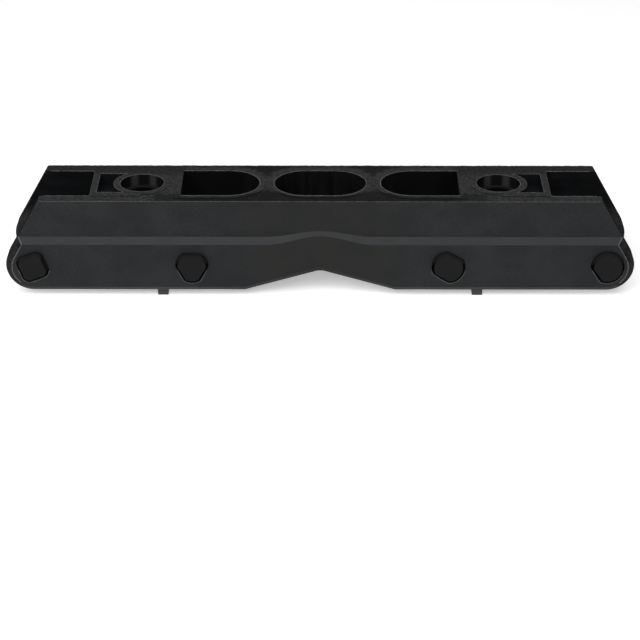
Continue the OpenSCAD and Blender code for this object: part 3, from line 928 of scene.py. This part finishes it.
def flanged_bush(station, side, direction):
    """A bush turned from a closed profile: barrel, flange against the wall, cone to the tip, and bore."""
    tip_r, barrel_r, bore_r = 5.0 * MM, 5.5 * MM, 4.05 * MM
    cone_length, flange_edge, edge_cut = 1.8 * MM, 0.35 * MM, 0.2 * MM
    low, high = reach(f"bush_{station}_{side}")
    x = (low[0] + high[0]) / 2
    flange_r = (high[0] - low[0]) / 2
    inner, outer = (low[1], high[1]) if direction > 0 else (high[1], low[1])
    wall = inner + direction * cone_length
    profile = [
        (bore_r, inner),
        (tip_r, inner),
        (flange_r, wall - direction * flange_edge),
        (flange_r, wall),
        (barrel_r, wall),
        (barrel_r, outer),
        (bore_r, outer),
    ]
    rows = lathe_rows(x, eased(profile, edge_cut, closed=True), COLUMNS)
    return closed_ring(f"bush_shell_{station}_{side}", rows)


def face_vectors(obj, kind):
    """The X, Y and Z values of each face's normal or center."""
    polygons = obj.data.polygons
    values = np.zeros(len(polygons) * 3)
    polygons.foreach_get(kind, values)
    return values.reshape(-1, 3).T


def give_finishes(obj, index, *finishes):
    """Adds finishes to a piece, and gives each face the finish that its index names."""
    for finish in finishes:
        obj.data.materials.append(finish)
    obj.data.polygons.foreach_set("material_index", index.astype(np.int32))


def dull_faces(shell, dull, matte):
    """Leaves the satin finish on the side panels, gives the inside, the deck and the lower bevels a duller
    one, and the ends of the walls and the boot-bolt recesses a matte one."""
    deck_from, bottom_from, bevel_from, end_from = 0.7, -0.9, -0.25, 0.5
    recess_top, recess_floor, recess_r = DECK_Z - 0.4 * MM, DECK_Z - 6 * MM, RECESS_R + 0.05 * MM
    ahead, out, up = face_vectors(shell, "normal")
    ahead, out = np.abs(ahead), np.abs(out)
    along, across, height = face_vectors(shell, "center")
    outside = (np.abs(across) > OUTSIDE_Y) & (up < deck_from) & (up > bottom_from)
    slanted = out < FACING
    ends = slanted & (ahead > end_from * np.hypot(ahead, up)) & (np.abs(along) > WALL_END_X)
    bottom_bevels = outside & slanted & (up < bevel_from) & ~ends
    from_bolt = np.hypot(np.abs(along) - BOLT_X, across)
    recesses = (from_bolt < recess_r) & (height < recess_top) & (height > recess_floor)
    index = np.where(ends | recesses, 2, np.where(outside & ~bottom_bevels, 0, 1))
    give_finishes(shell, index, dull, matte)


def rim_faces(head, rim):
    """Gives the rim and the side of a head their own finish."""
    _, along_axle, _ = face_vectors(head, "normal")
    give_finishes(head, np.abs(along_axle) < FACING, rim)


plastic = frame_plastic("frame_plastic", shine=0.228, side_dark=0.0006, side_light=0.0062)
# Painted sheen: the dull and matte copies have lighter greys on the side panels, which stand in for the gloss
# they lack
dull_plastic = frame_plastic("dull_plastic", shine=0.065, side_dark=0.006, side_light=0.014)
matte_plastic = frame_plastic("matte_plastic", shine=0.0, side_dark=0.006, side_light=0.024)
bar_plastic = brace_plastic()
steel, turned, black, rim = polished_steel(), bush_steel(), black_metal(), shaded_rim_metal()
scuffed_and_highlight = burr_and_highlight_plastic()

shell = softened("frame_shell", "frame_body", BODY_ROUNDING)
place(shell, "frame_body", "frame", plastic)
dull_faces(shell, dull_plastic, matte_plastic)
for edges in (deck_burrs(), panel_wear_and_highlight_burrs()):
    edges.data.materials.append(scuffed_and_highlight)
    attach(edges, "frame")
for end in ENDS:
    node = "cross_brace_" + end
    place(softened("bar_" + end, node, BRACE_ROUNDING), node, node, bar_plastic)
for station in STATIONS:
    axle_body = "axle_" + station
    screw = "axle_screw_" + station
    place(axle_shaft(station), axle_body, axle_body, steel)
    head = keyed_head(station)
    place(head, "key_head_" + station, axle_body, black)
    rim_faces(head, rim)
    place(round_screw(station), screw, screw, black)
    for side, direction in SIDES:
        place(flanged_bush(station, side, direction), f"bush_{station}_{side}", "frame", turned)


# Stage, camera and light
def make_floor():
    """A wide square of pale paper under the part."""
    half = 4.0
    corners = np.array([(-half, -half, 0), (half, -half, 0), (half, half, 0), (-half, half, 0)], float)
    floor = make_object("floor", corners, [(0, 1, 2, 3)])
    floor.data.materials.append(floor_paper())


def make_camera():
    """A camera whose distance and angles put the frame where the photograph shows it."""
    pixels = 640
    focal_pixels = 2138.6
    aim_height = 25.2 * MM
    distance = 1.0023
    elevation = math.radians(24.5)
    aim_pixel = (320.1, 228.7)
    roll = math.radians(0.06)
    below = math.atan((pixels / 2 - aim_pixel[1]) / focal_pixels)
    data = bpy.data.cameras.new("camera")
    data.sensor_width = 36
    data.lens = focal_pixels / pixels * data.sensor_width
    camera = bpy.data.objects.new("camera", data)
    camera.location = (
        -(aim_pixel[0] - pixels / 2) / focal_pixels * distance,
        -distance * math.cos(elevation),
        aim_height + distance * math.sin(elevation),
    )
    # The roll comes first, then the tilt
    camera.rotation_mode = "ZYX"
    camera.rotation_euler = (math.pi / 2 - elevation - below, 0, roll)
    bpy.context.scene.collection.objects.link(camera)
    bpy.context.scene.camera = camera


def make_room():
    """A room that gives little light, and is white where a camera, a gloss or a glass ray meets it."""
    dim, white = 0.09, 1.0
    world = bpy.data.worlds.new("studio")
    world.use_nodes = True
    tree = world.node_tree
    strength = tree.nodes.new("ShaderNodeMapRange")
    strength.inputs["To Min"].default_value = dim
    strength.inputs["To Max"].default_value = white
    tree.links.new(seen_rays(tree), strength.inputs["Value"])
    background = tree.nodes["Background"]
    background.inputs["Color"].default_value = grey(1.0)
    tree.links.new(strength.outputs[0], background.inputs["Strength"])
    bpy.context.scene.world = world


def softbox(name, at, aim, size, radiance):
    """A rectangular lamp whose power gives the stated brightness: brightness times its area times pi."""
    data = bpy.data.lights.new(name, "AREA")
    data.shape = "RECTANGLE"
    data.size, data.size_y = size
    data.energy = radiance * math.pi * size[0] * size[1]
    lamp = bpy.data.objects.new(name, data)
    lamp.location = at
    direction = np.array(at) - np.array(aim)
    flat = math.hypot(direction[0], direction[1])
    lamp.rotation_euler = (math.atan2(flat, direction[2]), 0, math.atan2(direction[0], -direction[1]))
    bpy.context.scene.collection.objects.link(lamp)


def make_light():
    """A large softbox in front and above, a small one overhead, a narrow one under the floor for the
    underside, and a strip on each side."""
    floor_middle, part_middle = (0, 0, 0), (0, 0, 0.02)
    softbox("front", at=(-0.3, -1.1, 1.0), aim=part_middle, size=(1.8, 0.9), radiance=5.2)
    softbox("overhead", at=(0, -0.1, 1.3), aim=floor_middle, size=(1.0, 0.6), radiance=2.1)
    softbox("under", at=(0, -0.1, -1.3), aim=floor_middle, size=(0.4, 1.0), radiance=6.8)
    for side in (-1, 1):
        at = (side * 1.0, -0.35, 0.35)
        softbox(f"strip_{side + 1}", at=at, aim=part_middle, size=(0.25, 0.6), radiance=3.2)


make_floor()
make_camera()
make_room()
make_light()
bpy.context.scene.view_settings.view_transform = "Standard"
